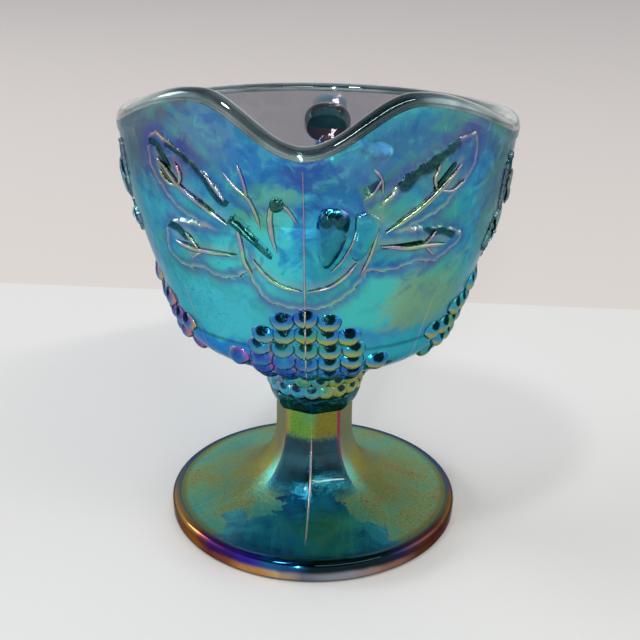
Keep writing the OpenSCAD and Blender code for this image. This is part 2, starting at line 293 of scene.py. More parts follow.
class Finish:
    """A material, or the surroundings, whose parts are added by name."""

    def __init__(self, name, room=None):
        self.material = room or bpy.data.materials.new(name)
        self.material.use_nodes = True
        self.tree = self.material.node_tree
        self.tree.nodes.clear()
        self.end = self.tree.nodes.new("ShaderNodeOutput" + ("World" if room else "Material"))

    def put(self, socket, value):
        if isinstance(value, Flow):
            self.tree.links.new(value.socket, socket)
        elif value is not None:
            if socket.type == "RGBA" and len(value) == 3:
                value = (*value, 1.0)
            socket.default_value = value

    def add(self, kind, settings=None, inputs=None, out=0):
        node = self.tree.nodes.new(kind)
        for key, value in (settings or {}).items():
            if key == "stops":
                stops = node.color_ramp.elements
                while len(stops) < len(value):
                    stops.new(0.5)
                for stop, (at, colour) in zip(stops, value):
                    stop.position = at
                    stop.color = (*colour, 1.0)
            else:
                setattr(node, key, value)
        for key, value in (inputs or {}).items():
            self.put(node.inputs[key], value)
        return Flow(self, node.outputs[out])

    def maths(self, operation, a, b=None):
        node = self.tree.nodes.new("ShaderNodeMath")
        node.operation = operation
        self.put(node.inputs[0], a)
        if b is not None:
            self.put(node.inputs[1], b)
        return Flow(self, node.outputs[0])

    def mix(self, part, a, b):
        node = self.tree.nodes.new("ShaderNodeMix")
        node.data_type = "RGBA"
        self.put(node.inputs[0], part)
        self.put(node.inputs[6], a)
        self.put(node.inputs[7], b)
        return Flow(self, node.outputs[2])

    def ramp(self, value, stops):
        return self.add("ShaderNodeValToRGB", {"stops": stops}, {"Fac": value})

    def parts(self, vector):
        """The three parts of a vector."""
        node = self.tree.nodes.new("ShaderNodeSeparateXYZ")
        self.put(node.inputs[0], vector)
        return [Flow(self, node.outputs[i]) for i in range(3)]

    def back(self):
        """1 where a face is seen from behind."""
        return self.add("ShaderNodeNewGeometry", out="Backfacing")

    def place(self):
        """Object coordinates in millimetres: the vector, x, y and z."""
        coords = self.add("ShaderNodeTexCoord", out=3)
        vector = self.add("ShaderNodeVectorMath", {"operation": "SCALE"}, {0: coords, "Scale": 1000.0})
        return (vector, *self.parts(vector))

    def marks(self, name):
        """The three parts of a value stored on the piece."""
        return self.parts(self.add("ShaderNodeAttribute", {"attribute_name": name}, out=1))

    def noise(self, where, scale, detail=2.0, rough=0.5, warp=0.0):
        return self.add("ShaderNodeTexNoise", {}, {"Vector": where, "Scale": scale, "Detail": detail,
                                                   "Roughness": rough, "Distortion": warp})

    def relief(self, height, distance, strength=1.0):
        return self.add("ShaderNodeBump", {}, {"Height": height, "Distance": distance,
                                               "Strength": strength})

    def skin(self, **sockets):
        """A Principled surface; its sockets by name with _ for a space."""
        named = {k.replace("_", " "): v for k, v in sockets.items()}
        return self.add("ShaderNodeBsdfPrincipled", {}, {"IOR": GLASS_IOR, **named})

    def around(self):
        """Millimetres and the angle from the spout: the vector, angle, distance from the axis, height."""
        vector, x, y, z = self.place()
        angle = self.maths("ARCTAN2", x, -y) * math.degrees(1)
        out = self.maths("SQRT", x * x + y * y)
        return vector, angle, out, z

    def spot(self, a, z, middle, half, soft=0.5):
        """An oval patch, 1 in its middle, fading out at its edge."""
        da, dz = (a - middle[0]) / half[0], (z - middle[1]) / half[1]
        return (1.0 - da * da - dz * dz).step(0.0, soft)

    def see_through(self, surface, part, tint=(1, 1, 1)):
        """Lets light straight through by part."""
        clear = self.add("ShaderNodeBsdfTransparent", {}, {"Color": tint})
        node = self.tree.nodes.new("ShaderNodeMixShader")
        self.put(node.inputs[0], part)
        self.put(node.inputs[1], surface)
        self.put(node.inputs[2], clear)
        return Flow(self, node.outputs[0])

    def done(self, surface):
        self.put(self.end.inputs["Surface"], surface)
        return self.material


RAINBOW = [
    (0.00, (0.46, 0.36, 0.10)),
    (0.12, (0.42, 0.16, 0.26)),
    (0.24, (0.18, 0.12, 0.40)),
    (0.38, (0.05, 0.17, 0.48)),
    (0.52, (0.035, 0.30, 0.50)),
    (0.64, (0.05, 0.42, 0.48)),
    (0.76, (0.12, 0.38, 0.28)),
    (0.88, (0.30, 0.38, 0.14)),
    (1.00, (0.48, 0.40, 0.12)),
]
GLASS_IOR, FILM_TINT = 1.5, (0.42, 0.60, 0.68, 1)
GOLD, PINK = (0.54, 0.50, 0.16), (0.54, 0.28, 0.32)
NIGHT = (0.006, 0.030, 0.034)

# washes of colour over the bowl: angle, height, half angle, half height, colour, strength
WASHES = [
    (-54, 104, 42, 16, (0.10, 0.13, 0.19), 1.0),
    (60, 108, 30, 14, (0.08, 0.14, 0.26), 0.80),
    (-26, 105, 13, 8, (0.09, 0.29, 0.50), 0.60),
    (-42, 99, 9, 7, (0.06, 0.06, 0.22), 0.75),
    (34, 103, 26, 10, (0.045, 0.15, 0.33), 0.85),
    (-8, 99, 20, 7, (0.030, 0.20, 0.50), 0.85),
    (2, 99, 9, 6, (0.035, 0.07, 0.34), 0.80),
    (14, 95, 16, 8, (0.02, 0.15, 0.38), 0.80),
    (-9, 90, 9, 8, (0.13, 0.44, 0.30), 0.75),
    (-50, 84, 20, 14, (0.05, 0.34, 0.52), 0.60),
    (-27, 90, 12, 8, (0.04, 0.36, 0.50), 0.60),
    (-13, 80, 17, 10, (0.06, 0.62, 0.66), 0.90),
    (-2, 84, 7, 12, (0.02, 0.30, 0.62), 0.70),
    (12, 80, 18, 10, (0.02, 0.31, 0.38), 0.80),
    (20, 93, 8, 6, (0.16, 0.38, 0.16), 0.60),
    (36, 88, 16, 9, (0.03, 0.30, 0.36), 0.80),
    (28, 82, 14, 5, (0.10, 0.36, 0.30), 0.60),
    (66, 90, 18, 16, (0.12, 0.20, 0.15), 0.75),
    (-36, 66, 34, 10, (0.06, 0.54, 0.66), 0.95),
    (20, 69, 16, 9, (0.06, 0.54, 0.50), 0.90),
    (44, 69, 24, 12, (0.20, 0.40, 0.22), 0.90),
    (-34, 53, 36, 7, (0.015, 0.22, 0.68), 0.95),
    (-52, 50, 20, 5, (0.12, 0.05, 0.40), 0.90),
    (34, 54, 30, 7, (0.03, 0.40, 0.50), 0.90),
]


def bowl_colour(f, p, a, z):
    broad = f.noise(p, 0.030, 2, 0.5)
    cloud = f.noise(p, 0.10, 3, 0.55, 0.6)
    small = f.noise(p, 0.26, 3, 0.6, 0.8)
    upper_left = z.step(90, 98) * a.step(-34, -52)
    front = (abs(a).step(105, 65) * 0.75 + 0.25) * (1.0 - upper_left * 0.8)
    aw = a + cloud.swing(26) + broad.swing(20) + small.swing(12)
    zw = z + cloud.swing(13) + broad.swing(10) + small.swing(6)
    side = abs(a).step(50, 80)
    phase = 0.54 + broad.swing(0.5 + side * 0.9) + cloud.swing(0.20) + side * ((z - 76) * -0.006)
    colour = f.ramp(phase, RAINBOW)
    for angle, height, wide, tall, wash, strength in WASHES:
        colour = f.mix(f.spot(aw, zw, (angle, height), (wide, tall), 0.8) * strength, colour, wash)
    # patchy blue and green over the leaf
    high = z.step(66, 78)
    colour = f.mix(small.step(0.50, 0.66) * (0.12 + high * 0.36) * front, colour, (0.012, 0.10, 0.36))
    colour = f.mix(cloud.step(0.50, 0.66) * high * 0.50 * front, colour, (0.07, 0.40, 0.24))
    colour = f.mix(small.step(0.47, 0.34) * (0.08 + high * 0.26) * front, colour, (0.10, 0.56, 0.58))
    return colour, cloud, broad, small


def bowl_film():
    """The iridescent skin outside the bowl: washes of colour, bright lines, and painted shade and painted
    dark reflections in hollows, on folds and round the leaves.
    """
    f = Finish("bowl_film")
    p, a, out, z = f.around()
    colour, cloud, broad, small = bowl_colour(f, p, a, z)
    line, hollow, shade = f.marks("relief")
    fine = f.noise(p, 0.9, 2, 0.5)
    grit = f.noise(p, 2.2, 3, 0.7)
    streak = f.noise(p, 0.35, 3, 0.6, 1.5)
    thread = (streak.bump(0.5, 0.010) * (z.bump(66, 12) * a.bump(-42, 22))).clip()
    ridge = f.mix(f.noise(p, 0.22, 1).step(0.42, 0.58), GOLD, PINK)
    # painted shade: deep blue and violet where the shade mark lies, round the leaf outlines, below the ribs
    # and round the folds' edges
    deep = f.mix(broad.step(0.4, 0.6), (0.02, 0.07, 0.38), (0.10, 0.05, 0.30))
    colour = f.mix((shade * 0.66).clip(), colour, deep)
    floor_line = z.bump(57.4, 0.7) * abs(a).step(18, 24) * 0.45
    # painted shade and painted dark reflections: the hollow mark darkens the pressed hollows, the folds' tops
    # and the side leaves' raised parts; thread and floor_line add thin dark lines
    sunk = (hollow * 1.15).step(0.10, 0.75) * (0.84 + grit.swing(0.9))
    dark = (sunk + thread * 0.75 + floor_line).clip()
    # the line mark's gold and pink: the ridges' own colour, and the painted highlight along the right bean's
    # edge
    colour = f.mix(line * 0.60, colour, ridge)
    # painted shade: dark patches over and beside the side leaves
    beside = abs(a).bump(82, 20) * small.step(0.40, 0.62)
    colour = f.mix(beside * 0.55, colour, (0.012, 0.05, 0.07))
    colour = f.mix(dark, colour, f.mix(fine.step(0.45, 0.65), NIGHT, (0.02, 0.07, 0.035)))
    rough = 0.13 + cloud * 0.09 + line * 0.05
    glare = f.spot(a, z, (14, 100), (10, 6), 1.0)
    wavy = f.noise(p, 0.10, 1, 0.5, 0.6)
    bumps = f.relief(cloud * 0.8 + fine * 0.07 + small * 0.25 + glare * wavy * 5.0, 0.0009, 0.55)
    skin = f.skin(Base_Color=colour, Metallic=1.0, Roughness=rough, Specular_Tint=FILM_TINT,
                  Coat_Weight=(0.14 + glare * 0.6) * (1.0 - dark), Coat_Roughness=0.03, Normal=bumps)
    top = z.step(98, 107) * abs(a + 4).step(34, 50)
    back = f.back()
    return f.done(f.see_through(skin, (back * 0.96 + (1.0 - back) * top * 0.22).clip()))


def inside_skin():
    """Smoky clear glass inside the bowl."""
    f = Finish("inside_glass")
    p, a, out, z = f.around()
    cloud = f.noise(p, 0.06, 2, 0.5)
    colour = f.ramp(cloud * 1.4 - 0.2 + (z - 80) * 0.004, [
        (0.20, (0.03, 0.16, 0.17)), (0.42, (0.08, 0.08, 0.20)),
        (0.60, (0.16, 0.09, 0.11)), (0.85, (0.12, 0.17, 0.11))])
    skin = f.skin(Base_Color=colour, Metallic=0.6, Roughness=0.06, Coat_Weight=1.0,
                  Coat_Roughness=0.01, Normal=f.relief(f.noise(p, 0.16, 1, 0.5), 0.0011, 0.8))
    low = z.step(80, 58)
    back = f.back()
    clear = (back + (1.0 - back) * (0.74 - low * 0.55)).clip()
    return f.done(f.see_through(skin, clear, (0.47, 0.49, 0.54)))


def berry_skin(name, warm=0.0, metal=1.0):
    """Grapes: a painted dark reflection high on each, blue round it, a yellow-green crescent below, bright
    rims, painted shade at the very bottom.
    """
    f = Finish(name)
    p, a, out, z = f.around()
    across, up, lift = f.marks("berry")
    broad = f.noise(p, 0.07, 2, 0.5)
    small = f.noise(p, 0.3, 2, 0.5)
    fine = f.noise(p, 0.8, 2, 0.5)
    turn = a.above(-40.0).below(40.0) * (1.0 - abs(a).step(110, 160))
    # low on the left the grapes are blue and violet with warm grooves and hardly any dark oval
    lower = z.step(60, 55) * z.step(45.5, 47) * turn.step(8, -6) * a.step(-78, -50)
    phase = 0.47 + broad.swing(0.8) + small.swing(0.5) + warm + turn * 0.0036 - lower * 0.10
    base = f.ramp(phase, [
        (0.20, (0.10, 0.035, 0.30)), (0.32, (0.02, 0.06, 0.38)), (0.46, (0.012, 0.17, 0.48)),
        (0.58, (0.02, 0.28, 0.42)), (0.72, (0.04, 0.30, 0.20)), (0.90, (0.24, 0.27, 0.05))])
    crescent = (0.10 - up).step(0.0, 0.50) * lift.step(0.10, 0.50) * (1.0 - lower * 0.8)
    green = f.mix((turn * 0.026 + 0.62 + broad.swing(2.0)).clip(), (0.02, 0.36, 0.52), (0.40, 0.38, 0.03))
    colour = f.mix(crescent * 0.85, base, green)
    # painted dark reflection: a dark oval high on each grape
    d = (up - 0.40 + fine.swing(0.35)) / 0.40
    e = (across + fine.swing(0.3)) / 0.56
    # patches low down where the painted dark reflection is left out
    dark_reflection_gaps = z.step(52, 49) * small.step(0.45, 0.6)
    painted_dark_reflection = (1.0 - d * d - e * e).step(0.0, 0.55) * lift.step(0.06, 0.30) * (1.0 - dark_reflection_gaps) * (1.0 - lower * 0.85)
    rim = (1.0 - lift.step(0.22, 0.50 - (turn - 5).below(0.0) * 0.010 + lower * 0.12)).clip()
    groove = f.mix(f.noise(p, 0.16, 1).step(0.40, 0.58), (0.55, 0.10, 0.30), (0.60, 0.38, 0.10))
    groove = f.mix((turn * 0.04 + 0.55 + (z - 55) * 0.05).clip(), groove, (0.04, 0.30, 0.52))
    colour = f.mix(rim * 0.85, colour, groove)
    colour = f.mix(painted_dark_reflection * 0.97, colour, (0.002, 0.010, 0.013))
    # painted shade at the very bottom of each grape
    under = (up * -1.0).step(0.80, 0.97)
    colour = f.mix(under * 0.9, colour, (0.002, 0.012, 0.018))
    return f.done(f.skin(Base_Color=colour, Metallic=metal, Roughness=0.12 + fine * 0.10,
                         Specular_Tint=(0.35, 0.55, 0.65, 1), Coat_Weight=0.35 - painted_dark_reflection * 0.35,
                         Coat_Roughness=0.02, Normal=f.relief(fine, 0.0005, 0.5)))


def neck_skin():
    f = Finish("neck_glass")
    p, a, out, z = f.around()
    cloud = f.noise(p, 0.25, 3, 0.6, 0.8)
    colour = f.ramp(cloud, [
        (0.3, (0.004, 0.030, 0.040)), (0.5, (0.008, 0.065, 0.085)), (0.7, (0.03, 0.20, 0.24))])
    return f.done(f.skin(Base_Color=colour, Metallic=1.0, Roughness=0.12, Coat_Weight=0.2,
                         Specular_Tint=(0.15, 0.40, 0.45, 1), Coat_Roughness=0.02,
                         Normal=f.relief(cloud, 0.0012, 0.5)))


def deep_skin():
    """The thick dark teal glass of the handle."""
    f = Finish("deep_glass")
    p, a, out, z = f.around()
    cloud = f.noise(p, 0.12, 2, 0.5)
    colour = f.ramp(cloud, [
        (0.3, (0.006, 0.030, 0.040)), (0.55, (0.012, 0.060, 0.075)), (0.8, (0.05, 0.13, 0.14))])
    # the loop away from the wall carries the film of the bowl
    outer = out.step(46, 51)
    broad = f.noise(p, 0.07, 2, 0.5, 0.5)
    film_colour = f.ramp(broad + cloud.swing(0.4), [
        (0.28, (0.06, 0.05, 0.34)), (0.42, (0.02, 0.18, 0.50)), (0.55, (0.03, 0.38, 0.48)),
        (0.70, (0.16, 0.36, 0.16)), (0.84, (0.42, 0.30, 0.10))])
    colour = f.mix(outer, colour, film_colour)
    return f.done(f.skin(Base_Color=colour, Metallic=0.25 + outer * 0.75, Roughness=0.08 + outer * 0.08,
                         Coat_Weight=0.6, Coat_Roughness=0.03, Specular_Tint=FILM_TINT,
                         Normal=f.relief(cloud, 0.0012, 0.5)))


def foot_top_skin():
    """The foot and stem: frosty mottled gold and green, and a clear deep teal fan in front."""
    f = Finish("foot_film")
    p, a, out, z = f.around()
    line, hollow, shade = f.marks("relief")
    away = abs(a)
    cloud = f.noise(p, 0.09, 3, 0.6, 0.5)
    speck = f.noise(p, 1.1, 4, 0.75)
    grain = f.noise(p, 2.0, 3, 0.7)
    tilt = a.above(-60.0).below(60.0) * (1.0 - away.step(110, 165))
    turn = cloud * 1.5 - 0.30 + speck.swing(0.9) + grain.swing(0.9) + (out - 26) * 0.004 + tilt * 0.0010
    frost = f.ramp(turn, [
        (0.18, (0.04, 0.31, 0.28)), (0.36, (0.11, 0.34, 0.24)), (0.52, (0.16, 0.31, 0.15)),
        (0.66, (0.22, 0.28, 0.10)), (0.80, (0.24, 0.23, 0.13)), (0.92, (0.12, 0.12, 0.07))])
    frost = f.mix(grain.step(0.54, 0.66) * 0.5, frost, (0.06, 0.09, 0.03))
    frost = f.mix(grain.step(0.44, 0.34) * 0.5, frost, (0.24, 0.42, 0.26))
    # near the stem the side panels turn gold, and the two in front yellow-green and orange
    high = (z + speck.swing(3.0)).step(21, 24.5)
    panel = f.mix((a + cloud.swing(14)).step(-8, 10), (0.16, 0.34, 0.04), (0.25, 0.20, 0.02))
    panel = f.mix(grain.step(0.48, 0.62) * 0.55, panel, (0.05, 0.12, 0.02))
    panel = f.mix((a.bump(-4, 16) * z.step(25, 31)).clip() * 0.7, panel, (0.07, 0.30, 0.14))
    panel = f.mix(a.bump(-42, 9) * 0.8, panel, (0.36, 0.30, 0.08))
    edge_panel = f.mix(cloud.step(0.4, 0.6), (0.16, 0.20, 0.13), (0.22, 0.20, 0.10))
    panel = f.mix(away.step(43, 46), panel, edge_panel)
    magenta = a.bump(43, 4) * z.step(15, 22) + a.bump(-43, 3) * z.step(15, 22) * 0.35
    frost = f.mix(z.step(12, 20) * away.step(43, 46), frost, edge_panel)
    frost = f.mix(high * 0.95, frost, panel)
    gold = z.bump(13, 7) * away.step(50, 62) * (1.0 - away.step(118, 140))
    frost = f.mix((gold * (0.5 + speck * 0.8)).clip(), frost, (0.17, 0.145, 0.02))
    # the clear fan
    wave = cloud.swing(60) + speck.swing(12) + grain.swing(4)
    low_stem = (18.5 - out).step(0.0, 4.0)
    fan_half = 17 + (out - 15) * 1.75 - (out - 29).above(0.0) * 2.0
    fan_disc = (fan_half - abs(a + 1.0) + wave).step(-1.5, 2.5) * (1.0 - low_stem)
    fan_stem = (44 - away).step(-1.0, 1.0) * low_stem * (z + speck.swing(3.0)).step(24.5, 22.0)
    fan = (fan_disc + fan_stem).clip()
    depth = f.noise(p, 0.11, 3, 0.5, 0.8) + abs(out - 25.5) * -0.020 + 0.10
    water = f.ramp(depth, [
        (0.22, (0.006, 0.055, 0.090)), (0.36, (0.012, 0.15, 0.24)),
        (0.50, (0.022, 0.28, 0.38)), (0.70, (0.06, 0.40, 0.36))])
    water = f.mix(low_stem * z.step(9, 15) * 0.80, water, (0.004, 0.030, 0.042))
    colour = f.mix(fan, frost, water)
    colour = f.mix(out.step(32.6, 34.2) * 0.8, colour, f.mix(fan, (0.14, 0.14, 0.04), (0.01, 0.12, 0.24)))
    colour = f.mix((magenta * (1.0 - fan * 0.6)).clip() * 0.9, colour, (0.30, 0.01, 0.12))
    # two thin pale lines radiating across the foot, left of the fan
    pale_lines = (a.bump(-62, 0.30) + a.bump(-55, 0.22)) * out.step(17, 22) * (1.0 - fan)
    colour = f.mix(pale_lines.clip() * 0.35, colour, (0.36, 0.42, 0.28))
    colour = f.mix(line * 0.8, colour, f.mix(cloud.step(0.4, 0.6), (0.34, 0.36, 0.22), (0.40, 0.22, 0.34)))
    rough = 0.40 - fan * 0.33 + speck.swing(0.14)
    bumps = f.relief(grain * 0.3 + speck * 0.4 + cloud * 2.0, 0.0003, 0.6)
    return f.done(f.skin(Base_Color=colour, Metallic=0.95, Roughness=rough,
                         Specular_Tint=(0.55, 0.62, 0.55, 1), Coat_Weight=0.10 + fan * 0.35,
                         Coat_Roughness=0.03, Normal=bumps))


def foot_edge_skin():
    """The rolled edge of the foot: gold, magenta, violet and blue in turn, silver at the bottom."""
    f = Finish("foot_edge_film")
    p, a, out, z = f.around()
    cloud = f.noise(p, 0.12, 2, 0.5)
    aw = a + cloud.swing(30)
    around = aw * 0.00556 * 0.5 + 0.5
    upper = f.ramp(around, [
        (0.20, (0.04, 0.08, 0.19)), (0.27, (0.16, 0.15, 0.13)), (0.335, (0.30, 0.17, 0.05)),
        (0.37, (0.14, 0.03, 0.02)), (0.41, (0.03, 0.005, 0.10)), (0.44, (0.03, 0.015, 0.30)),
        (0.47, (0.01, 0.12, 0.32)), (0.51, (0.002, 0.014, 0.018)), (0.58, (0.002, 0.014, 0.020)),
        (0.61, (0.015, 0.012, 0.06)), (0.65, (0.09, 0.03, 0.02)), (0.72, (0.17, 0.10, 0.03)),
        (0.79, (0.04, 0.08, 0.19))])
    lower = f.ramp(around, [
        (0.22, (0.25, 0.21, 0.19)), (0.29, (0.34, 0.25, 0.15)), (0.35, (0.36, 0.16, 0.04)),
        (0.40, (0.16, 0.03, 0.03)), (0.435, (0.50, 0.22, 0.05)), (0.47, (0.58, 0.40, 0.20)),
        (0.50, (0.16, 0.17, 0.21)), (0.54, (0.30, 0.32, 0.36)), (0.58, (0.38, 0.22, 0.17)),
        (0.64, (0.14, 0.05, 0.02)), (0.70, (0.22, 0.12, 0.05)), (0.78, (0.25, 0.21, 0.19))])
    split = (z + cloud.swing(1.6)).step(2.0, 3.4)
    colour = f.mix(split, lower, upper)
    colour = f.mix((out.step(35.6, 34.6) * z.step(4, 4.8)), colour, (0.05, 0.14, 0.14))
    colour = f.mix(z.step(0.9, 0.1), colour, (0.12, 0.14, 0.15))
    return f.done(f.skin(Base_Color=colour, Metallic=1.0, Roughness=0.09, Coat_Weight=0.15,
                         Specular_Tint=(0.30, 0.26, 0.30, 1), Coat_Roughness=0.02))


def lip_skin():
    """Clear teal-grey glass along the lip, with stretches beside the spout and patches painted darker as dark
    reflections.
    """
    f = Finish("clear_rim")
    p, a, out, z = f.around()
    cloud = f.noise(p, 0.06, 2, 0.6)
    # painted dark reflections: the glass colour darkened beside the spout and in patches
    thick = (a.bump(22, 16) * 0.9 + a.bump(-30, 12) * 0.6 + cloud.step(0.45, 0.65) * 0.6).clip()
    colour = f.mix(thick, (0.46, 0.60, 0.60), (0.05, 0.12, 0.14))
    return f.done(f.skin(Base_Color=colour, Metallic=0.30, Roughness=0.05, Transmission_Weight=1.0))


def ghost_skin():
    """The side of the relief inside the glass: only a shadow of its shape."""
    f = Finish("relief_shadow")
    skin = f.skin(Base_Color=(0.02, 0.06, 0.08), Metallic=0.5, Roughness=0.3)
    back = f.back()
    return f.done(f.see_through(skin, (back + 0.82).clip()))


film = bowl_film()
ghost = ghost_skin()
inside_glass = inside_skin()
clear_rim = lip_skin()
berry_film = berry_skin("berry_film")
neck_berry_film = berry_skin("neck_berry_film", 0.26, 0.45)
neck_glass = neck_skin()
deep_glass = deep_skin()
foot_film = foot_top_skin()
edge_film = foot_edge_skin()


# ---------------------------------------------------------------- foot, stem, collar, neck
FOOT_TOP = bend([(0, EDGE_H + 6.5), (12, EDGE_H + 6), (FOOT_IN - 11, EDGE_H + 2), (FOOT_IN, EDGE_H)], 40)


def make_foot():
    hollow = bend([(HEEL_IN, 0.6), (23, 4), (13, 7.2), (0, 7.4)], 20)
    plate = lathe("foot_plate", [*FOOT_TOP, (FOOT_IN, 0.6), *hollow])
    finish_piece(smooth(plate), foot_film, "film_foot", "foot_disc")
    quarter = np.linspace(0, math.pi / 2, 8)
    middle = FOOT_R - EDGE_ROUND
    corner = [(middle + EDGE_ROUND * math.sin(t), EDGE_H - EDGE_ROUND + EDGE_ROUND * math.cos(t))
              for t in quarter]
    heel = [(middle + EDGE_ROUND * math.cos(t), EDGE_ROUND - EDGE_ROUND * math.sin(t)) for t in quarter]
    ring = [(FOOT_IN, EDGE_H), *corner, *heel, (FOOT_R - 4.6, 0), (HEEL_IN, 0.6), (FOOT_IN, 0.6)]
    edge = lathe("foot_rim", [*ring, ring[0]])
    finish_piece(smooth(edge), edge_film, "film_foot", "foot_edge")


def eight_sided(a, r, edge):
    """Distance from the axis on an eight-sided section with a corner towards the spout; edge 0 is round."""
    off = np.radians(np.mod(a, 45) - 22.5)
    flat = r * math.cos(math.radians(22.5)) / np.cos(off)
    flat = flat - 0.22 * np.exp(-((np.abs(off) - math.radians(22.5)) / 0.06) ** 2)
    return r * (1 - edge) + flat * edge


def stem_flare():
    """The stem's outline from below its top out on to the foot."""
    end_r = 24.5
    end_z = np.interp(end_r, FOOT_TOP[:, 0], FOOT_TOP[:, 1])
    lean = (np.interp(end_r + 0.5, FOOT_TOP[:, 0], FOOT_TOP[:, 1]) - end_z) / 0.5
    return bend([(STEM_R, STEM_TOP - 6), (STEM_R + 0.2, STEM_TOP - 15.5), (end_r - 9, end_z - 9 * lean + 0.1),
                 (end_r, end_z - 0.04)], 40)


def make_stem():
    flare = stem_flare()
    end_z = flare[-1, 1]
    outline = [(STEM_R, STEM_TOP), (STEM_R, STEM_TOP - 3), *flare]
    stem = lathe("stem", [(0, STEM_TOP), *outline, (0, EDGE_H)], 240)
    a, r, z = polar(points_of(stem))
    side = r > 4
    edge = ease((z - end_z) / 13) ** 0.7
    r = np.where(side, eight_sided(a, r, edge), r)
    move_points(stem, place(a, r, z))
    finish_piece(smooth(stem, 30), foot_film, "film_foot", "stem")


def make_collar():
    z0, z1 = STEM_TOP, STEM_TOP + COLLAR_H
    collar = lathe("collar", [(0, z0), (STEM_R + 0.5, z0), (STEM_R + 1.2, z0 + 1.2), (STEM_R + 1.7, z0 + 2.6),
                              (STEM_R + 2.0, z1 - 0.4), (STEM_R + 1.7, z1), (0, z1)], 96)
    a, r, z = polar(points_of(collar))
    r = np.where(r > 4, eight_sided(a, r, 1.0), r)
    move_points(collar, place(a, r, z))
    finish_piece(smooth(collar, 30), neck_glass, "deep_glass", "collar")


def make_neck():
    neck = lathe("neck", [(0, NECK[0, 1]), *NECK, (0, NECK_TOP)], 128)
    finish_piece(smooth(neck), neck_glass, "deep_glass", "neck")


# ---------------------------------------------------------------- bowl
def make_handle():
    """A solid ear: a rod is drawn along a loop from the wall and back, wide and flat in the middle,
    swelling where it joins."""
    loop = curve_through([(40.2, 91.4), (45.0, 92.6), (52.0, 95.0), (60.0, 94.4), (66.3, 87.6), (67.0, 79.0),
                          (62.6, 71.2), (54.0, 67.0), (46.0, 65.6), (36.4, 63.8)], False, 8)
    rings = len(loop)
    fresh()
    bpy.ops.mesh.primitive_grid_add(x_subdivisions=rings - 1, y_subdivisions=32, size=2)
    handle = bpy.context.object
    handle.name = "handle"
    co = points_of(handle)
    along = (co[:, 0] + 1) / 2 * (rings - 1)
    turn = (co[:, 1] + 1) * math.pi
    i = np.clip(np.round(along).astype(int), 0, rings - 1)
    way = np.gradient(loop, axis=0)
    way /= np.hypot(*way.T)[:, None]
    run = np.concatenate([[0], np.cumsum(np.hypot(*np.diff(loop, axis=0).T))])
    near_top = np.exp(-(((run - 4.0) / 4.2) ** 2))
    near_low = np.exp(-(((run[-1] - run - 5.0) / 5.0) ** 2))
    wide = 4.7 + 1.7 * near_top + 1.5 * near_low
    thick = 2.7 + 2.9 * near_top + 1.9 * near_low
    c, s = np.cos(turn), np.sin(turn)
    c, s = np.sign(c) * np.abs(c) ** 0.85, np.sign(s) * np.abs(s) ** 0.85
    x = wide[i] * c
    y = loop[i, 0] - way[i, 1] * thick[i] * s
    z = loop[i, 1] + way[i, 0] * thick[i] * s
    move_points(handle, np.stack([x, y, z], -1) * MM)
    close_up(handle, MERGE, True)
    finish_piece(smooth(handle, 60), deep_glass, "deep_glass", "handle", "handle_roots")


def make_bowl():
    base = lathe("bowl_floor", [(0, NECK_TOP), *UNDER, *FLOOR_IN[::-1]])
    finish_piece(smooth(base), [film, inside_glass], "film_bowl", "bowl_floor")
    sort_inside(base)
    outer = [(r, z) for r, z in SIDE if z < 101.2] + [(body_radius(101.6), 101.6)]
    inner = [(r, z) for r, z in SIDE_IN[::-1] if z < 101]
    lip = [(inner_radius(101) + 1.2, 101.4), (inner_radius(101), 101)]
    wall = lathe("bowl_wall", [*outer, *lip, *inner, outer[0]], 400)
    co = points_of(wall)
    a, r, z = polar(co)
    outside = r > (body_radius(z) + inner_radius(z)) / 2
    lift = (rim_height(a) - RIM_Z) * ease((z - 66) / 35)
    z2 = z + lift
    r2 = np.where(outside, body_radius(z2), inner_radius(z2)) + spout_bulge(a, z2)
    r2 = r2 + np.where(outside, 0.34, 0) * ease((z2 - rim_height(a) + 3.0) / 1.2)
    low = z < 59
    r2 = np.where(low, r, r2)
    move_points(wall, place(a, r2, z2))
    a, r, z = polar(points_of(wall))
    # painted shade round the leaves' outlines on the wall, kept in the shade part of the relief mark
    beside = np.zeros(len(a))
    for turn in (0, -90, 90):
        near = np.abs(a - turn) < (62 if turn == 0 else 28)
        aa, zz = a[near] - turn, z[near]
        if turn:
            aa, zz = aa / NARROW, (zz - 85) / LOW + 88
        d = np.clip(-union_reach(aa, zz), 0, None)
        beside[near] = np.maximum(beside[near], np.exp(-((d / 1.5) ** 2)) * (d > 0))
    zero = np.zeros(len(a))
    write_marks(wall, "relief", np.stack([zero, zero, np.where(outside, beside, 0)], -1))
    finish_piece(smooth(wall), [film, inside_glass], "film_bowl", "bowl_wall", "spout")
    sort_inside(wall)


def sort_inside(piece, floor=0.75):
    """Gives the faces that look inwards the second finish."""
    for face in piece.data.polygons:
        c, n = face.center, face.normal
        inward = c.x * n.x + c.y * n.y < 0 and n.z > -0.7 or n.z > floor
        face.material_index = 1 if inward else 0


def make_rim():
    fresh()
    middle = RIM_R - WALL / 2 - 0.25
    bpy.ops.mesh.primitive_torus_add(major_segments=256, minor_segments=20, major_radius=middle * MM,
                                     minor_radius=BEAD_R * MM)
    rim = bpy.context.object
    rim.name = "rim_bead"
    a, r, z = polar(points_of(rim))
    slope = (rim_height(a + 1) - rim_height(a - 1)) / (2 * math.radians(1) * middle)
    r = r + SPOUT_OUT * np.exp(-((a / SPOUT_WIDE) ** 2))
    low = 1 - 0.5 * ease((np.abs(a) - 80) / 45)   # flatter towards the handle
    move_points(rim, place(a, r, z * low * np.sqrt(1 + slope**2) + rim_height(a)))
    finish_piece(smooth(rim), clear_rim, "clear_rim", "rim_bead")


# ---------------------------------------------------------------- relief drawn on the wall
FLAT = 0.75   # millimetres round the wall for one degree, about half way up


